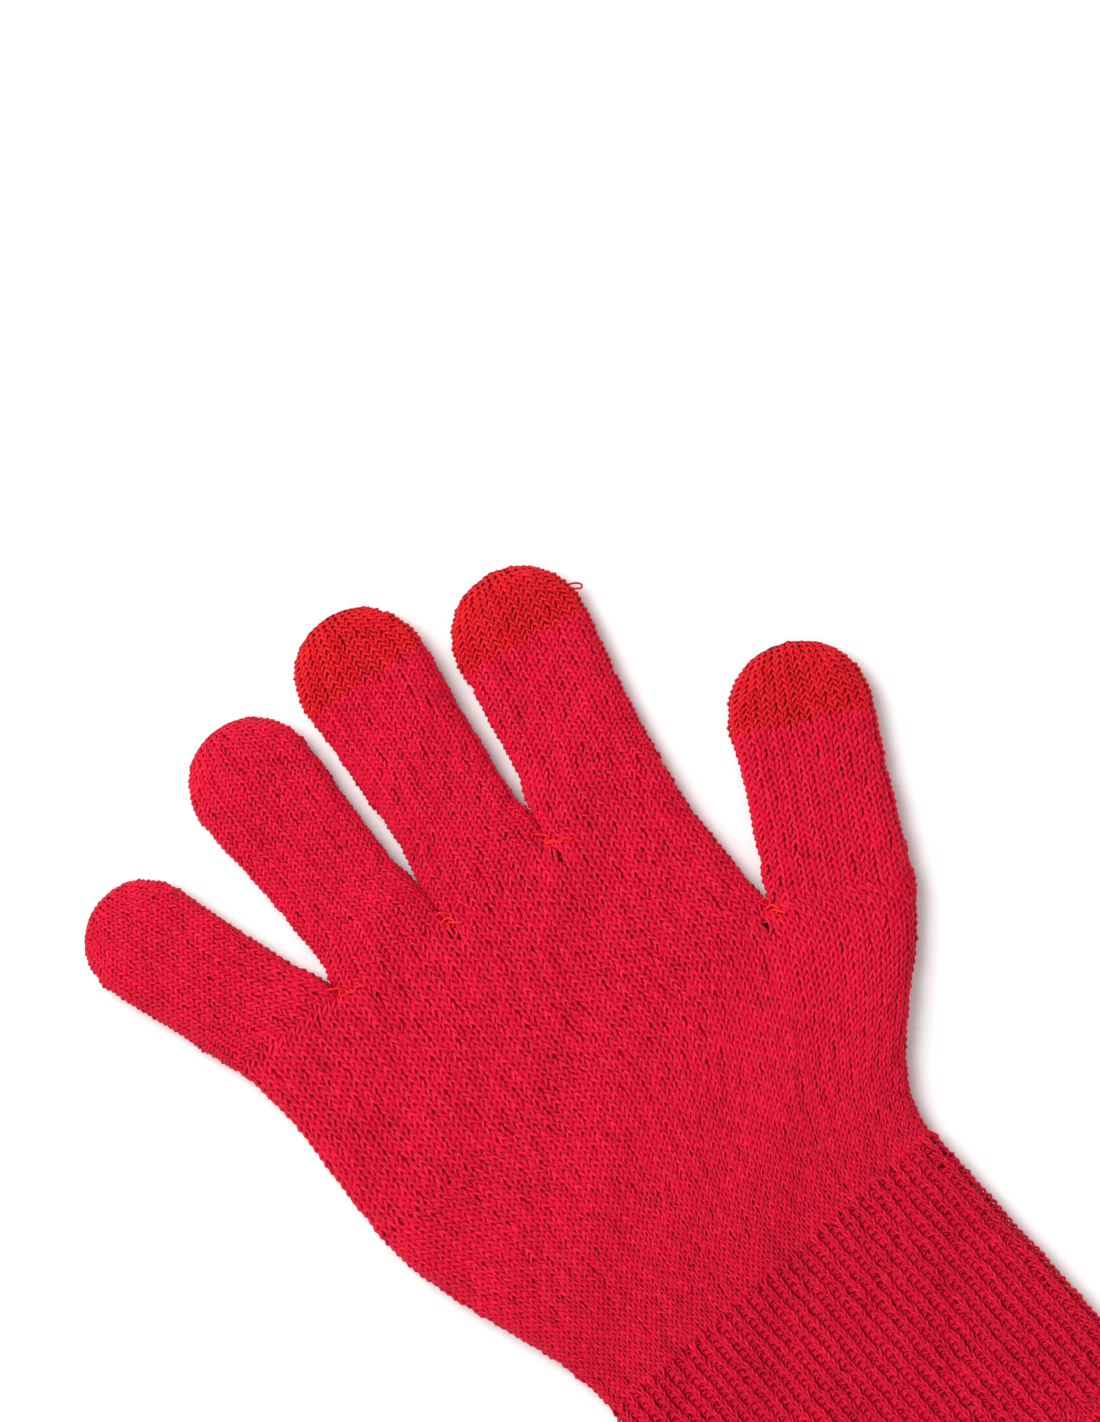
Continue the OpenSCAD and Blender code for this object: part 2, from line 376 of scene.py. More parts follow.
def knuckle_y(x):
    """The line through the finger roots, carried on past the outer fingers."""
    past = np.where(x < roots[0][0], x - roots[0][0], np.maximum(x - roots[-1][0], 0))
    return np.interp(x, roots[:, 0], roots[:, 1]) + past * knuckle_slope


def root_side(name, sign):
    """The x of a finger root's side: sign -1 is the little finger's side, 1 is the thumb's."""
    return digits[name]["root"][0] + sign * digits[name]["root_half"]


little_x = root_side("little", -1)
thumb_x = root_side("index", 1)
thumb = digits["thumb"]
thumb_fork = thumb["root"] - thumb["root_half"] * across(thumb["lean"])
finger_forks = []
for outer, inner in zip(FINGERS[1:], FINGERS[:-1]):
    fork_x = (root_side(outer, 1) + root_side(inner, -1)) / 2
    finger_forks.append(np.array([fork_x, float(knuckle_y(fork_x))]))
fork_places = dict(zip(FORKS, [*finger_forks, thumb_fork]))

hand_vertices = np.array([v.co for v in frame["nodes"]["hand_tube"].data.vertices])
wrist_y = hand_vertices[:, 1].min()
at_wrist = hand_vertices[hand_vertices[:, 1] < wrist_y + MM][:, 0]
wrist_low, wrist_high = at_wrist.min() + OUTLINE_INSET, at_wrist.max() - OUTLINE_INSET
cuff_low, cuff_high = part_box("cuff_rib")
edge_low, edge_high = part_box("cuff_edge")


# ---------------------------------------------------------------- fabric


# Places across a row from -1 to 1, closer together at both ends, and the same from 0 to 1.
SPREAD = -np.cos(np.linspace(0, math.pi, ACROSS_SAMPLES))
SHARES = (SPREAD + 1) / 2


def ripple(points):
    """Gentle unevenness of a fabric that lies loose."""
    x, y = points[:, 0] / MM, points[:, 1] / MM
    return RIPPLE * sum(np.sin(right * x + up * y + start) for right, up, start in RIPPLE_WAVES)


def height_share(depth):
    """The share of its full height that a flattened tube has at a depth inside its outline."""
    return np.sqrt(1 - (1 - np.clip(depth / EDGE_ROUND, 0, 1)) ** 2)


def section(row, depth, count, phase, pitch=None):
    """Points around the flattened tube over a row, one for each wale.

    The row runs from left to right over the tube, and depth is how far each of its points lies inside the
    outline. The points start at the middle of the top, and phase moves them on by a part of a wale. They
    lie the same distance apart, but KEPT_WALES on each side of the middle keep to a pitch, if one is given.
    """
    lift = height_share(depth)
    bottom = EDGE_Z - (EDGE_Z - BOTTOM_Z) * lift
    top = EDGE_Z + (TOP_Z - EDGE_Z + ripple(row)) * lift
    loop = np.vstack([np.column_stack([row, bottom]), np.column_stack([row, top])[-2::-1]])
    steps = np.linalg.norm(np.diff(loop, axis=0), axis=1)
    reached = np.concatenate([[0], np.cumsum(steps)])
    middle = reached[len(row) - 1 + len(row) // 2]
    wale = (np.arange(count) + phase + count / 2) % count - count / 2
    if pitch is None:
        pitch = reached[-1] / count
    rest = (reached[-1] / 2 - KEPT_WALES * pitch) / (count / 2 - KEPT_WALES)
    kept = np.clip(wale, -KEPT_WALES, KEPT_WALES)
    at = (middle + kept * pitch + (wale - kept) * rest) % reached[-1]
    return np.column_stack([np.interp(at, reached, loop[:, i]) for i in range(3)])


def level_row(left, right, y):
    """A straight row from left to right at one y."""
    return np.column_stack([left + SHARES * (right - left), np.full_like(SHARES, y)])


def inside(row):
    """Distance of each point of a row from the nearer end of the row."""
    steps = np.linalg.norm(np.diff(row, axis=0), axis=1)
    reached = np.concatenate([[0], np.cumsum(steps)])
    return np.minimum(reached, reached[-1] - reached)


def from_fork(places, fork):
    """Distance of each place from a fork, whose crease is longer than it is wide."""
    return np.hypot(places[..., 0] - fork[0], (places[..., 1] - fork[1]) / FORK_STRETCH)


def hermite(start, end, start_run, end_run, v):
    """Smooth curve from start to end that leaves and arrives along the two runs."""
    return (
        (2 * v**3 - 3 * v**2 + 1) * start
        + (v**3 - 2 * v**2 + v) * start_run
        + (3 * v**2 - 2 * v**3) * end
        + (v**3 - v**2) * end_run
    )


def smooth(x):
    """A soft step from 0 to 1."""
    x = np.clip(x, 0, 1)
    return x * x * (3 - 2 * x)


def tube(rings):
    """The grid of a tube from its rings, with one more ring carried on past each end, and its normals."""
    points = np.array(rings)
    middles = points.mean(axis=1, keepdims=True)
    outward = points[..., :2] - middles[..., :2]
    outward /= np.linalg.norm(outward, axis=2, keepdims=True)
    points[..., :2] += outward * rng.normal(0, COURSE_WOBBLE, (len(rings), points.shape[1], 1))
    points = np.concatenate([[2 * points[0] - points[1]], points, [2 * points[-1] - points[-2]]])
    around = np.roll(points, -1, axis=1) - np.roll(points, 1, axis=1)
    along = np.gradient(points, axis=0)
    normals = np.cross(along, around)
    normals /= np.linalg.norm(normals, axis=2, keepdims=True) + TINY
    return {"points": points, "normals": normals, "courses": len(rings) - 1}


def lookup(grid, f, g):
    """Values of a grid between its points. f counts wales around, and g rings from the first real one."""
    rings, wales, _ = grid.shape
    just_inside = 0.001
    g = np.clip(g + 1, 0, rings - 1 - just_inside)
    f0, g0 = np.floor(f).astype(int), np.floor(g).astype(int)
    df, dg = (f - f0)[..., None], (g - g0)[..., None]
    f0, f1 = f0 % wales, (f0 + 1) % wales
    low = grid[g0, f0] * (1 - df) + grid[g0, f1] * df
    high = grid[g0 + 1, f0] * (1 - df) + grid[g0 + 1, f1] * df
    return low * (1 - dg) + high * dg


def phase_at(row, depth, count, place):
    """The phase that puts a point of a ring's top on a place, so that wales run on from tube to tube."""
    ring = section(row, depth, count, 0)
    top = ring[ring[:, 2] > EDGE_Z]
    nearest = top[np.argmin(np.linalg.norm(top[:, :2] - place, axis=1))]
    pitch = np.linalg.norm(ring[1] - ring[0])
    return float((nearest[0] - place[0]) / pitch)


# ---------------------------------------------------------------- yarn


def loop_path(lean):
    """One stitch: its place across in wales, along in courses, and its lift in loop depths."""
    share = np.arange(SAMPLES_PER_STITCH) / SAMPLES_PER_STITCH
    turn = 2 * math.pi * share
    return share - 0.5 + lean * np.sin(2 * turn), -LOOP_REACH * np.cos(turn), -np.cos(2 * turn)


def tube_geometry(paths, ups, radii, closed, sides):
    """Tubes along rows of points: their vertices, faces, and two maps with a value for each face's corners.

    The yarn map counts millimetres along a yarn and turns around it. The bake map gives every face its own
    place in the unit square. All rows have the same number of points.
    """
    count, length, _ = paths.shape
    if closed:
        run = np.roll(paths, -1, axis=1) - np.roll(paths, 1, axis=1)
    else:
        run = np.gradient(paths, axis=1)
    run /= np.linalg.norm(run, axis=2, keepdims=True) + TINY
    side = np.cross(run, ups)
    side /= np.linalg.norm(side, axis=2, keepdims=True) + TINY
    up = np.cross(side, run)
    angle = 2 * math.pi * np.arange(sides) / sides
    ring = np.cos(angle)[:, None] * side[:, :, None] + np.sin(angle)[:, None] * up[:, :, None]
    vertices = (paths[:, :, None] + radii[:, :, None, None] * ring).reshape(-1, 3)

    steps = length if closed else length - 1
    k, i, s = np.meshgrid(np.arange(count), np.arange(steps), np.arange(sides), indexing="ij")
    i = np.stack([i, i + 1, i + 1, i], axis=-1)
    s = np.stack([s, s, s + 1, s + 1], axis=-1)
    k = np.broadcast_to(k[..., None], i.shape)
    faces = (k * length + i % length) * sides + s % sides
    reached = np.linalg.norm(np.diff(paths, axis=1, append=paths[:, :1]), axis=2).cumsum(axis=1)
    reached = np.concatenate([np.zeros((count, 1)), reached], axis=1)
    yarn_map = np.stack([reached[k, i] / MM, s / sides], axis=-1)
    bake_map = np.stack([i / length, (k + s / sides) / count], axis=-1)
    return vertices, faces.reshape(-1, 4), yarn_map.reshape(-1, 2), bake_map.reshape(-1, 2)


def sheet_geometry(points):
    """A closed sleeve through a grid of points, in the same form as tubes."""
    rows, wales, _ = points.shape
    k, i = np.meshgrid(np.arange(rows - 1), np.arange(wales), indexing="ij")
    k = np.stack([k, k, k + 1, k + 1], axis=-1)
    i = np.stack([i, i + 1, i + 1, i], axis=-1)
    faces = k * wales + i % wales
    flat_map = np.stack([i / wales, k / (rows - 1)], axis=-1).reshape(-1, 2)
    return points.reshape(-1, 3), faces.reshape(-1, 4), flat_map, flat_map


def make_piece(name, parts):
    """One object from several parts, each a geometry, a material and its share of the bake map's height."""
    vertices, faces, yarn_maps, bake_maps, slots = [], [], [], [], []
    start = 0
    top = 0
    for slot, (geometry, _, share) in enumerate(parts):
        vertices.append(geometry[0])
        faces.append(geometry[1] + start)
        yarn_maps.append(geometry[2])
        bake_maps.append(geometry[3] * (1, share * BAKE_FILL) + (0, top))
        slots.append(np.full(len(geometry[1]), slot))
        start += len(geometry[0])
        top += share
    vertices, faces, slots = np.vstack(vertices), np.vstack(faces), np.concatenate(slots)
    vertices[:, 2] = np.maximum(vertices[:, 2], LEAST_Z)
    mesh = bpy.data.meshes.new(name)
    mesh.vertices.add(len(vertices))
    mesh.vertices.foreach_set("co", vertices.astype(np.float32).ravel())
    mesh.loops.add(faces.size)
    mesh.loops.foreach_set("vertex_index", faces.astype(np.int32).ravel())
    mesh.polygons.add(len(faces))
    mesh.polygons.foreach_set("loop_start", np.arange(0, faces.size, 4, dtype=np.int32))
    for layer, maps in (("yarn", yarn_maps), ("OFBake", bake_maps)):
        data = mesh.uv_layers.new(name=layer)
        data.data.foreach_set("uv", np.vstack(maps).astype(np.float32).ravel())
    for _, material, _ in parts:
        mesh.materials.append(material)
    mesh.polygons.foreach_set("use_smooth", np.ones(len(faces), dtype=bool))
    mesh.polygons.foreach_set("material_index", slots.astype(np.int32))
    mesh.update(calc_edges=True)
    piece = bpy.data.objects.new(name, mesh)
    bpy.context.scene.collection.objects.link(piece)
    return piece


def pulled_open(points, holes, sink):
    """Points of the top pushed away from small holes, and sunk into the glove by a length around them."""
    points = points.copy()
    for hole in holes:
        away = points[..., :2] - hole
        distance = np.linalg.norm(away, axis=-1, keepdims=True) + TINY
        near = np.exp(-((distance / HOLE_REACH) ** 2)) * (points[..., 2:] > EDGE_Z)
        points[..., :2] += away / distance * HOLE_RADIUS * near
        points[..., 2:] -= sink * near
    return points


def fuzz(paths, normals):
    """Fine fibre ends that stand out of the yarn, as short bent tubes."""
    courses, samples, _ = paths.shape
    count = int(courses * samples / SAMPLES_PER_STITCH * FUZZ_PER_STITCH)
    k = rng.integers(0, courses, count)
    i = rng.integers(0, samples, count)
    direction = FUZZ_OUTWARD * normals[k, i] + rng.normal(0, FUZZ_SPREAD, (count, 3))
    bend = rng.normal(0, FUZZ_BEND, (count, 3))
    length = rng.uniform(*FUZZ_LENGTH, (count, 1, 1))
    t = np.linspace(0, 1, FUZZ_POINTS)[None, :, None]
    strands = paths[k, i][:, None] + length * (t * direction[:, None] + t**2 * bend[:, None])
    radii = FUZZ_RADIUS * (1 - FUZZ_TAPER * t[..., 0]) * np.ones((count, 1))
    ups = np.broadcast_to(rng.normal(0, 1, (count, 1, 3)), strands.shape)
    return tube_geometry(strands, ups, radii, False, FUZZ_SIDES)


def yarn_thickness(fabric, f, g, wales):
    """The thickness of courses of yarn at their samples, as a share of the full one."""
    courses, samples = f.shape
    pitch = np.linalg.norm(np.roll(fabric["points"], -1, axis=1) - fabric["points"], axis=2)[..., None]
    squeeze = np.clip(lookup(pitch, f, g)[..., 0] / FULL_WALE, LEAST_SQUEEZE, 1)
    wander = np.sin(np.arange(samples) * THICK_WAVE + rng.uniform(0, 2 * math.pi, (courses, 1)))
    jitter = np.repeat(rng.normal(0, THICK_JITTER, (courses, wales)), SAMPLES_PER_STITCH, axis=1)
    return squeeze * (1 + THICK_VARIATION * wander + jitter)


def knit(name, fabric, first, last, yarn, rib=False, holes=()):
    """The courses of a tube from first up to last, as one piece.

    A ribbed piece turns every second wale inside out.
    """
    courses = last - first
    wales = fabric["points"].shape[1]
    x, y, z = loop_path(yarn["lean"])
    stitch = np.arange(wales)
    shift = rng.normal(0, STITCH_JITTER, (3, courses, wales, 1))
    middle = np.sin(math.pi * np.arange(SAMPLES_PER_STITCH) / SAMPLES_PER_STITCH) ** 2
    f = stitch[None, :, None] + x + shift[0] * middle
    g = first + np.arange(courses)[:, None, None] + 0.5 + y + shift[1] * middle
    face = np.where(stitch % 2 == 0, 1, -1)[None, :, None] if rib else 1
    ridge = RIB_HEIGHT * np.cos(math.pi * f) if rib else 0
    lift = LOOP_DEPTH * (z * face + 2 * shift[2] * middle) + ridge - WALE_GROOVE * (2 * x) ** 2
    f, g, lift = (a.reshape(courses, -1) for a in (f, g, lift))
    points, normals = lookup(fabric["points"], f, g), lookup(fabric["normals"], f, g)
    paths = pulled_open(points + lift[..., None] * normals, holes, 0)
    radii = yarn["radius"] * yarn_thickness(fabric, f, g, wales)
    loops = tube_geometry(paths, normals, radii, True, YARN_SIDES)
    depth = LINING_DEPTH + (RIB_HEIGHT if rib else 0)
    # The grid has one more ring in front of its first course.
    inner = (fabric["points"] - depth * fabric["normals"])[first + 1 : last + 2]
    lining = sheet_geometry(pulled_open(inner, holes, HOLE_SINK))
    return make_piece(
        name,
        [
            (loops, yarn["material"], LOOPS_SHARE),
            (lining, yarn["lining"], LINING_SHARE),
            (fuzz(paths, normals), yarn["material"], FUZZ_SHARE),
        ],
    )


def bands(courses):
    """The first and last course of each band that a number of courses is divided into."""
    count = math.ceil(courses / BAND_COURSES)
    return [(courses * band // count, courses * (band + 1) // count) for band in range(count)]


# ---------------------------------------------------------------- materials


def new_material(name):
    """A material, its nodes and its shader."""
    material = bpy.data.materials.new(name)
    material.use_nodes = True
    return material, material.node_tree, material.node_tree.nodes["Principled BSDF"]


def math_node(tree, operation, *values):
    """The output of a math node. Each value is a number or the output of another node."""
    node = tree.nodes.new("ShaderNodeMath")
    node.operation = operation
    for socket, value in zip(node.inputs, values):
        if isinstance(value, bpy.types.NodeSocket):
            tree.links.new(value, socket)
        else:
            socket.default_value = value
    return node.outputs[0]


def noise_node(tree, place, scale, detail):
    """The output of a noise node."""
    node = tree.nodes.new("ShaderNodeTexNoise")
    node.inputs["Scale"].default_value = scale
    node.inputs["Detail"].default_value = detail
    tree.links.new(place, node.inputs["Vector"])
    return node.outputs["Fac"]


def color_from(tree, shader, value, low, high):
    """Colour a shader by a value: low and high are each a value and its colour."""
    ramp = tree.nodes.new("ShaderNodeValToRGB")
    for element, (position, color) in zip(ramp.color_ramp.elements, (low, high)):
        element.position = position
        element.color = (*color, 1)
    tree.links.new(value, ramp.inputs["Fac"])
    tree.links.new(ramp.outputs["Color"], shader.inputs["Base Color"])


def bump_from(tree, shader, height, strength, distance):
    """Give a shader's surface a relief by a height."""
    bump = tree.nodes.new("ShaderNodeBump")
    bump.inputs["Strength"].default_value = strength
    bump.inputs["Distance"].default_value = distance
    tree.links.new(height, bump.inputs["Height"])
    tree.links.new(bump.outputs["Normal"], shader.inputs["Normal"])


def yarn_material(name, light, dark, plies, twist_mm, sheen, bump_mm):
    """Twisted yarn: plies and fibres along it, and slow changes of colour over the fabric. Its colour also
    holds painted shade, darker on the yarn's inward side and in its ply grooves and lighter on its outward
    side.
    """
    material, tree, shader = new_material(name)
    yarn_map = tree.nodes.new("ShaderNodeUVMap")
    yarn_map.uv_map = "yarn"
    split = tree.nodes.new("ShaderNodeSeparateXYZ")
    tree.links.new(yarn_map.outputs["UV"], split.inputs[0])
    along, around = split.outputs["X"], split.outputs["Y"]

    twist = math_node(tree, "MULTIPLY", along, 2 * math.pi / twist_mm)
    ply = math_node(tree, "COSINE", math_node(tree, "MULTIPLY_ADD", around, 2 * math.pi * plies, twist))
    stretch = tree.nodes.new("ShaderNodeMapping")
    stretch.inputs["Scale"].default_value = FIBRE_STRETCH
    tree.links.new(yarn_map.outputs["UV"], stretch.inputs["Vector"])
    fibres = noise_node(tree, stretch.outputs[0], FIBRE_SCALE, FIBRE_DETAIL)
    height = math_node(tree, "MULTIPLY_ADD", ply, PLY_RELIEF, fibres)

    place = tree.nodes.new("ShaderNodeTexCoord").outputs["Object"]
    patches = noise_node(tree, place, PATCH_SCALE, PATCH_DETAIL)
    # Painted light and shade: the yarn's outward side is coloured lighter and its inward side darker.
    outward = math_node(tree, "SINE", math_node(tree, "MULTIPLY", around, 2 * math.pi))
    lit = math_node(tree, "MULTIPLY_ADD", outward, OUTWARD_PAINTED_SHADE, patches)
    # Painted shade in the ply grooves, with uneven tone from the fibre noise.
    shade = math_node(tree, "MULTIPLY_ADD", height, RELIEF_SHADE, lit)
    color_from(tree, shader, shade, (DARK_UP_TO, dark), (1, light))
    bump_from(tree, shader, height, YARN_BUMP, bump_mm * MM)
    shader.inputs["Roughness"].default_value = YARN_ROUGHNESS
    shader.inputs["Specular IOR Level"].default_value = YARN_SPECULAR
    shader.inputs["Sheen Weight"].default_value = sheen
    shader.inputs["Sheen Roughness"].default_value = SHEEN_ROUGHNESS
    shader.inputs["Sheen Tint"].default_value = SHEEN_TINT
    return material


def felt_material(name, color, shade):
    """The fibres behind the loops: dull and uneven."""
    material, tree, shader = new_material(name)
    place = tree.nodes.new("ShaderNodeTexCoord").outputs["Object"]
    noise = noise_node(tree, place, FELT_SCALE, FELT_DETAIL)
    color_from(tree, shader, noise, (FELT_DARK_UP_TO, shade), (FELT_LIGHT_FROM, color))
    bump_from(tree, shader, noise, 1, FELT_BUMP)
    shader.inputs["Roughness"].default_value = 1
    shader.inputs["Specular IOR Level"].default_value = 0
    return material


body_lining = felt_material("body_lining", (0.60, 0.001, 0.018), (0.36, 0, 0.008))
touch_lining = felt_material("touch_lining", (0.50, 0.001, 0.008), (0.30, 0, 0.004))
# In each yarn the light colour is its painted lit side and the dark colour its painted shade.
body_material = yarn_material(
    "body_yarn",
    light=(0.74, 0.004, 0.038),
    dark=(0.25, 0, 0.005),
    plies=5,
    twist_mm=6.0,
    sheen=0.03,
    bump_mm=0.16,
)
touch_material = yarn_material(
    "touch_yarn",
    light=(0.65, 0.006, 0.014),
    dark=(0.20, 0.001, 0.003),
    plies=3,
    twist_mm=5.0,
    sheen=0.02,
    bump_mm=0.08,
)
fork_material = yarn_material(
    "fork_yarn",
    light=(0.88, 0.014, 0.018),
    dark=(0.45, 0.002, 0.004),
    plies=3,
    twist_mm=4.0,
    sheen=0.04,
    bump_mm=0.06,
)
body_yarn = {
    "radius": BODY_RADIUS,
    "lean": BODY_LEAN,
    "material": body_material,
    "lining": body_lining,
    "slot": "body_yarn",
}
touch_yarn = {
    "radius": TOUCH_RADIUS,
    "lean": TOUCH_LEAN,
    "material": touch_material,
    "lining": touch_lining,
    "slot": "touch_yarn",
}


# ---------------------------------------------------------------- palm


def low_palm_row(v):
    """A row between the wrist and the line across the palm at the thumb's fork.

    The line bends down at the thumb.
    """
    start = level_row(wrist_low, wrist_high, wrist_y)
    palm_w = thumb_fork[0] - little_x
    thumb_w = 2 * thumb["root_half"]
    reached = SHARES * (palm_w + thumb_w)
    on_thumb = np.maximum(reached - palm_w, 0)[:, None]
    palm_x = little_x + np.minimum(reached, palm_w)
    on_palm = np.column_stack([palm_x, np.full_like(palm_x, thumb_fork[1])])
    end = on_palm + on_thumb * across(thumb["lean"])
    turn = smooth((reached - palm_w) / (thumb_w / 2) + 0.5)[:, None] * thumb["lean"]
    distance = np.linalg.norm(end - start, axis=1, keepdims=True)
    end_run = np.hstack([np.sin(turn), np.cos(turn)])
    return hermite(start, end, toward(0) * distance, end_run * distance, v)


def high_palm_row(v):
    """A row between the line at the thumb's fork and the knuckle line."""
    start = level_row(little_x, thumb_fork[0], thumb_fork[1])
    end_x = little_x + SHARES * (thumb_x - little_x)
    end = np.column_stack([end_x, knuckle_y(end_x)])
    distance = np.linalg.norm(end - start, axis=1, keepdims=True)
    turn = np.interp(end_x, roots[:, 0], [digits[f]["lean"] for f in reversed(FINGERS)])[:, None]
    end_run = np.hstack([np.sin(turn), np.cos(turn)])
    return hermite(start, end, toward(0) * distance, end_run * distance, v)


def low_palm_depth(row):
    """How far the points of a row lie inside the lower palm's outline and from its crease at the thumb."""
    return np.minimum(inside(row), from_fork(row, thumb_fork))


def high_palm_depth(row):
    """The same for the upper palm, which also has creases at the forks between the fingers."""
    return np.minimum.reduce([inside(row), *(from_fork(row, fork) for fork in fork_places.values())])


def palm_tube(row_at, depth_of, wales, courses, phase):
    """A part of the palm as a tube, from the function for its rows and the one for their depths."""
    rows = [row_at(v) for v in np.linspace(0, 1, courses + 1)]
    return tube([section(row, depth_of(row), wales, phase) for row in rows])


def nearest_wale(fabric, place):
    """The wale of a tube's last ring that lies nearest to a place on the top, and the pitch there."""
    ring = fabric["points"][-2]
    top = ring[ring[:, 2] > EDGE_Z + MM]
    away = np.linalg.norm(top[:, :2] - place, axis=1)
    near = top[np.argsort(away)[: 2 * KEPT_WALES]]
    pitch = np.linalg.norm(near[:, None] - near[None], axis=2).max() / (len(near) - 1)
    return top[np.argmin(away)][:2], pitch


low_palm = palm_tube(low_palm_row, low_palm_depth, WALES_LOW_PALM, COURSES_LOW_PALM, 0)
start_row = high_palm_row(0)
start_middle = start_row[len(start_row) // 2]
start_wale, _ = nearest_wale(low_palm, start_middle)
high_phase = phase_at(start_row, high_palm_depth(start_row), WALES_HIGH_PALM, start_wale)
high_palm = palm_tube(high_palm_row, high_palm_depth, WALES_HIGH_PALM, COURSES_HIGH_PALM, high_phase)

holes = [fork_places[name] + fork["hole"] for name, fork in FORKS.items() if "hole" in fork]

for part, fabric in (("low_palm", low_palm), ("high_palm", high_palm)):
    for number, (first, last) in enumerate(bands(fabric["courses"])):
        piece = knit(f"{part}_{number + 1}", fabric, first, last, body_yarn, holes=holes)
        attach(piece, "hand")
        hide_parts("hand_tube")


# ---------------------------------------------------------------- digits


def digit_half(digit, s):
    """Half of a digit's width, at a distance from its root."""
    share = s / digit["tip_l"]
    half = digit["root_half"] + share * (digit["tip_radius"] - digit["root_half"])
    return half - WAIST / 2 * math.sin(math.pi * min(share, 1))


def digit_turn(digit, s):
    """The turn of the row that lies at a distance from a digit's root."""
    start_turn = digit["lean"] if digit["name"] == "thumb" else knuckle_turn
    return start_turn + float(smooth(s / TURN_L)) * (digit["lean"] - start_turn)


def digit_side(digit, s, sign):
    """The point on a digit's outline on the little finger's side, -1, or on the thumb's side, 1."""
    middle = digit["root"] + s * toward(digit["lean"])
    return middle + sign * digit_half(digit, s) * across(digit_turn(digit, s))


def bulge(digit, s, sign):
    """How far a finger swells on one side to lie against its neighbour, up to where the gap opens."""
    if digit["name"] == "thumb":
        return 0
    place = FINGERS.index(digit["name"]) - sign
    if not 0 <= place < len(FINGERS):
        return 0
    neighbour = digits[FINGERS[place]]
    closed_l = FORK_CLOSED[min(place, place + sign)]
    gap = np.linalg.norm(digit_side(digit, s, sign) - digit_side(neighbour, s, -sign)) - PRESSED_GAP
    return max(gap, 0) / 2 * (1 - float(smooth((s - closed_l) / FORK_OPENS)))


def digit_row(digit, s):
    """A straight row across a digit at a distance from its root, and its points' depth in the outline."""
    turn = digit_turn(digit, s)
    left = digit_side(digit, s, -1) - bulge(digit, s, -1) * across(turn)
    right = digit_side(digit, s, 1) + bulge(digit, s, 1) * across(turn)
    half = np.linalg.norm(right - left) / 2
    return (left + right) / 2 + SPREAD[:, None] * half * across(turn), (1 - abs(SPREAD)) * half


def tip_row(digit, share):
    """A curved row across the rounded tip, from its straight start at share 0 to its outline at share 1.

    With it comes its points' depth in the outline.
    """
    radius = digit["tip_radius"]
    side_angle = share * TIP_CLOSE
    side_y = radius * math.sin(side_angle)
    x = SPREAD * radius * math.cos(side_angle)
    arch = (np.sqrt(radius**2 - x**2) - side_y) / (radius - side_y)
    y = side_y + (radius * share - side_y) * arch
    middle = digit["root"] + digit["tip_l"] * toward(digit["lean"])
    row = middle + x[:, None] * across(digit["lean"]) + y[:, None] * toward(digit["lean"])
    return row, np.maximum(radius - np.hypot(x, y), 0)


def tip_shares(digit):
    """Shares of the tip's rows, the same distance apart over its middle, which falls away at the end."""
    share = 1 - (1 - SHARES) ** 2
    depth = digit["tip_radius"] * (1 - share)
    z = EDGE_Z + (TOP_Z - EDGE_Z) * height_share(depth)
    reached = np.concatenate([[0], np.cumsum(np.hypot(np.diff(depth), np.diff(z)))])
    return np.interp(np.linspace(0, reached[-1], TIP_COURSES + 1), reached, share)


def digit_tube(digit, from_fabric):
    """The tube of a digit, which starts on the palm's wales, and its number of courses up to the tip."""
    courses = round(digit["tip_l"] / digit["course"])
    rows = [digit_row(digit, digit["tip_l"] * i / courses) for i in range(courses)]
    rows += [tip_row(digit, share) for share in tip_shares(digit)]
    wale, palm_pitch = nearest_wale(from_fabric, rows[0][0][len(SPREAD) // 2])
    phase = phase_at(*rows[0], digit["wales"], wale)
    rings = []
    for i, row in enumerate(rows):
        even = section(*row, digit["wales"], phase)
        kept = section(*row, digit["wales"], phase, palm_pitch)
        freed = float(smooth(i * digit["course"] / TURN_L))
        rings.append(kept + freed * (even - kept))
    return tube(rings), courses


for name, digit in digits.items():
    fabric, straight = digit_tube(digit, low_palm if name == "thumb" else high_palm)
    tip_first = straight - 1
    cut = round(straight * digit["base_l"] / digit["tip_l"])
    base = knit(f"{name}_base_knit", fabric, 0, cut, body_yarn)
    end = knit(f"{name}_end_knit", fabric, cut, tip_first, body_yarn)
    tip_yarn = touch_yarn if digit["touch"] else body_yarn
    tip = knit(f"{digit['tip_node']}_knit", fabric, tip_first, fabric["courses"], tip_yarn)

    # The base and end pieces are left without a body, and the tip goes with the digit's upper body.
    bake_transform(base)
    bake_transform(end)
    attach(tip, f"{name}_upper")
    for piece, node in ((base, f"{name}_base"), (end, f"{name}_end"), (tip, digit["tip_node"])):
        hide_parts(node)


# ---------------------------------------------------------------- cuff


def cuff_row(y):
    """A straight row across the cuff at one y, and its points' depth in the outline."""
    share = (wrist_y - y) / (wrist_y - cuff_low[1])
    low = wrist_low + share * (cuff_low[0] + OUTLINE_INSET - wrist_low)
    high = wrist_high + share * (cuff_high[0] - OUTLINE_INSET - wrist_high)
    row = level_row(low, high, y)
    return row, inside(row)


def overcast_rim(name, fabric):
    """Yarn wound around the rim of the cuff, as one closed thread."""
    up_the_cuff = np.array([0.0, 1.0, 0.0])
    wraps = np.arange(RIM_WRAPS * SAMPLES_PER_STITCH) / SAMPLES_PER_STITCH
    f = wraps[None] / RIM_WRAPS * WALES_LOW_PALM
    g = np.full_like(f, RIM_AT)
    rim, normals = lookup(fabric["points"], f, g), lookup(fabric["normals"], f, g)
    turn = 2 * math.pi * wraps[None, :, None]
    path = rim + RIM_HALF_THICK * np.cos(turn) * normals + RIM_HALF_L * np.sin(turn) * up_the_cuff
    radii = np.full(path.shape[:2], BODY_RADIUS)
    geometry = tube_geometry(path, np.broadcast_to(up_the_cuff, path.shape), radii, True, YARN_SIDES)
    return make_piece(name, [(geometry, body_material, 1)])


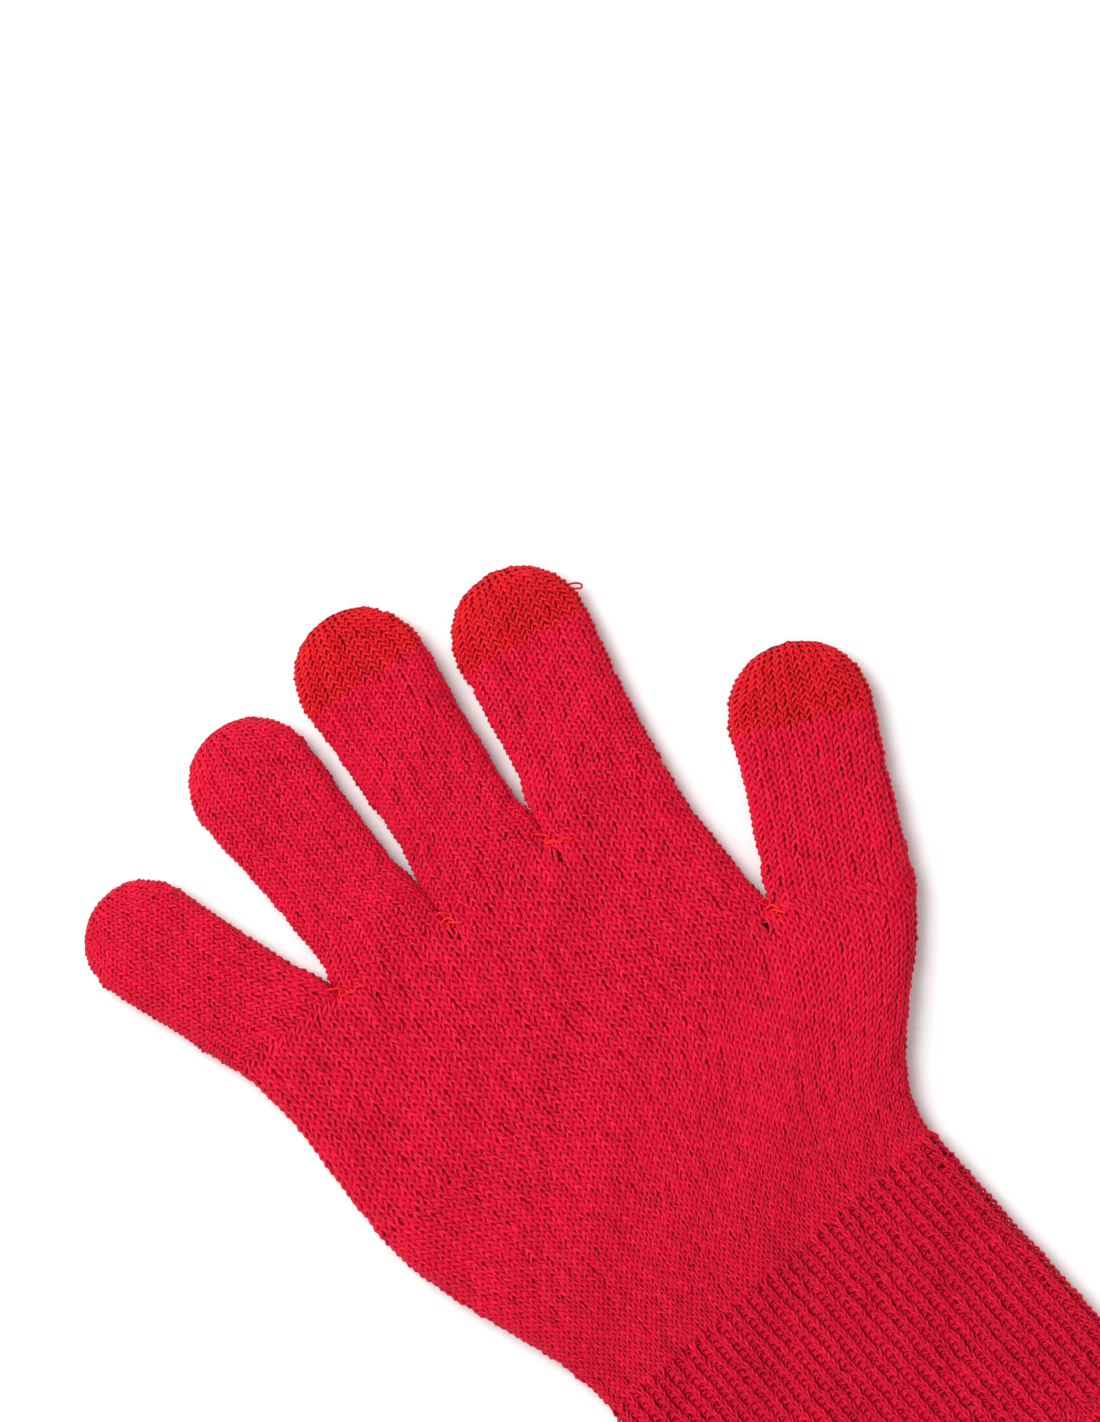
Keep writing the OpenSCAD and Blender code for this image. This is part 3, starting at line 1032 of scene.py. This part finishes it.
cuff_ys = np.linspace(cuff_low[1], wrist_y, COURSES_CUFF + 1)
cuff = tube([section(*cuff_row(y), WALES_LOW_PALM, 0) for y in cuff_ys])
blend_first = int(np.searchsorted(cuff_ys, wrist_y - CUFF_BLEND_L))
for number, (first, last) in enumerate([*bands(blend_first), (blend_first, COURSES_CUFF)]):
    piece = knit(f"cuff_rib_knit_{number + 1}", cuff, first, last, body_yarn, rib=True)
    if last == COURSES_CUFF:
        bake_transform(piece)
    else:
        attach(piece, "cuff")
    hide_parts("cuff_rib", "cuff_elastic")

edge_ys = np.linspace(edge_low[1], edge_high[1], COURSES_EDGE + 1)
edge = tube([section(*cuff_row(y), WALES_LOW_PALM, 0) for y in edge_ys])
rim_piece = overcast_rim("cuff_rim_overcast", edge)
edge_piece = knit("cuff_edge_knit", edge, 0, COURSES_EDGE, body_yarn)
for piece in (edge_piece, rim_piece):
    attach(piece, "cuff")
    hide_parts("cuff_edge")


# ---------------------------------------------------------------- threads


def curve_through(points, steps):
    """Smooth curve through points, with a number of steps from each point to the next."""
    padded = np.vstack([2 * points[0] - points[1], points, 2 * points[-1] - points[-2]])
    t = (np.arange(steps) / steps)[:, None]
    parts = []
    for a, b, c, d in zip(padded, padded[1:], padded[2:], padded[3:]):
        parts.append(hermite(b, c, (c - a) / 2, (d - b) / 2, t))
    return np.vstack([*parts, points[-1:]])


def fork_height(place, fork):
    """Height of the top of the fabric near a fork."""
    return EDGE_Z + (TOP_Z - EDGE_Z) * height_share(from_fork(place, fork))


def thread(name, points, radius, material):
    """A yarn through points, which starts and ends in fine tips."""
    path = curve_through(np.array(points), THREAD_STEPS)[None]
    ups = np.broadcast_to([0.0, 0.0, 1.0], path.shape)
    along = np.linspace(-1, 1, path.shape[1])
    radii = radius * np.sqrt(1 - along[None] ** THREAD_END)
    return make_piece(name, [(tube_geometry(path, ups, radii, False, YARN_SIDES), material, 1)])


def fork_threads(name, fork, turn, threads):
    """The yarn that closes a fork: loops drawn over it and loose ends."""
    for number, places in enumerate(threads):
        points = []
        for x, y, rise in places:
            place = fork + MM * (x * across(turn) + y * toward(turn))
            points.append((*place, fork_height(place, fork) + rise * MM))
        piece = thread(f"{name}_thread_{number + 1}", points, THREAD_RADIUS, fork_material)
        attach(piece, "hand")
        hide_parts(name)


for name, fork in FORKS.items():
    fork_threads(name, fork_places[name], fork["turn"], fork["threads"])

index = digits["index"]
loop_points = []
for x, y in SLIPPED_LOOP:
    place = index["root"] + MM * (x * across(index["lean"]) + y * toward(index["lean"]))
    loop_points.append((*place, EDGE_Z + MM * SLIPPED_RISE * (x - SLIPPED_LOOP[0][0])))
slipped = thread("index_tip_slipped_loop", loop_points, SLIPPED_RADIUS, touch_material)
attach(slipped, "index_upper")


# ---------------------------------------------------------------- floor, light and camera


def make_floor():
    """A white floor that fills the picture."""
    material, _, shader = new_material("floor")
    shader.inputs["Base Color"].default_value = (FLOOR_GREY, FLOOR_GREY, FLOOR_GREY, 1)
    shader.inputs["Roughness"].default_value = 1
    corners = [(FLOOR_HALF * x, FLOOR_HALF * y, 0) for x, y in ((-1, -1), (1, -1), (1, 1), (-1, 1))]
    mesh = bpy.data.meshes.new("floor")
    mesh.from_pydata(corners, [], [(0, 1, 2, 3)])
    mesh.materials.append(material)
    floor = bpy.data.objects.new("floor", mesh)
    bpy.context.scene.collection.objects.link(floor)


def make_light(name, place, target, size, power):
    """A square softbox that points at a target."""
    data = bpy.data.lights.new(name, "AREA")
    data.size = size
    data.energy = power
    light = bpy.data.objects.new(name, data)
    light.location = place
    light.rotation_euler = (target - light.location).to_track_quat("-Z", "Y").to_euler()
    bpy.context.scene.collection.objects.link(light)


def make_world(strength):
    """Even white light from all around."""
    world = bpy.data.worlds.new("studio")
    world.use_nodes = True
    background = world.node_tree.nodes["Background"]
    background.inputs["Color"].default_value = (1, 1, 1, 1)
    background.inputs["Strength"].default_value = strength
    bpy.context.scene.world = world


def make_camera():
    """The photograph's camera, straight above the glove."""
    data = bpy.data.cameras.new("camera")
    data.sensor_width = SENSOR
    data.lens = SENSOR * (CAMERA_Z - TOP_Z) / VIEW_HEIGHT
    camera = bpy.data.objects.new("camera", data)
    camera.location = (*VIEW_CENTRE, CAMERA_Z)
    camera.rotation_euler = (0, 0, VIEW_TURN)
    bpy.context.scene.collection.objects.link(camera)
    bpy.context.scene.camera = camera


make_floor()
make_world(WORLD_LIGHT)
glove_middle = (cad_box[0] + cad_box[1]) / 2
make_light("softbox", SOFTBOX_PLACE, glove_middle, SOFTBOX_SIZE, SOFTBOX_POWER)
make_camera()
bpy.context.scene.view_settings.view_transform = "Standard"
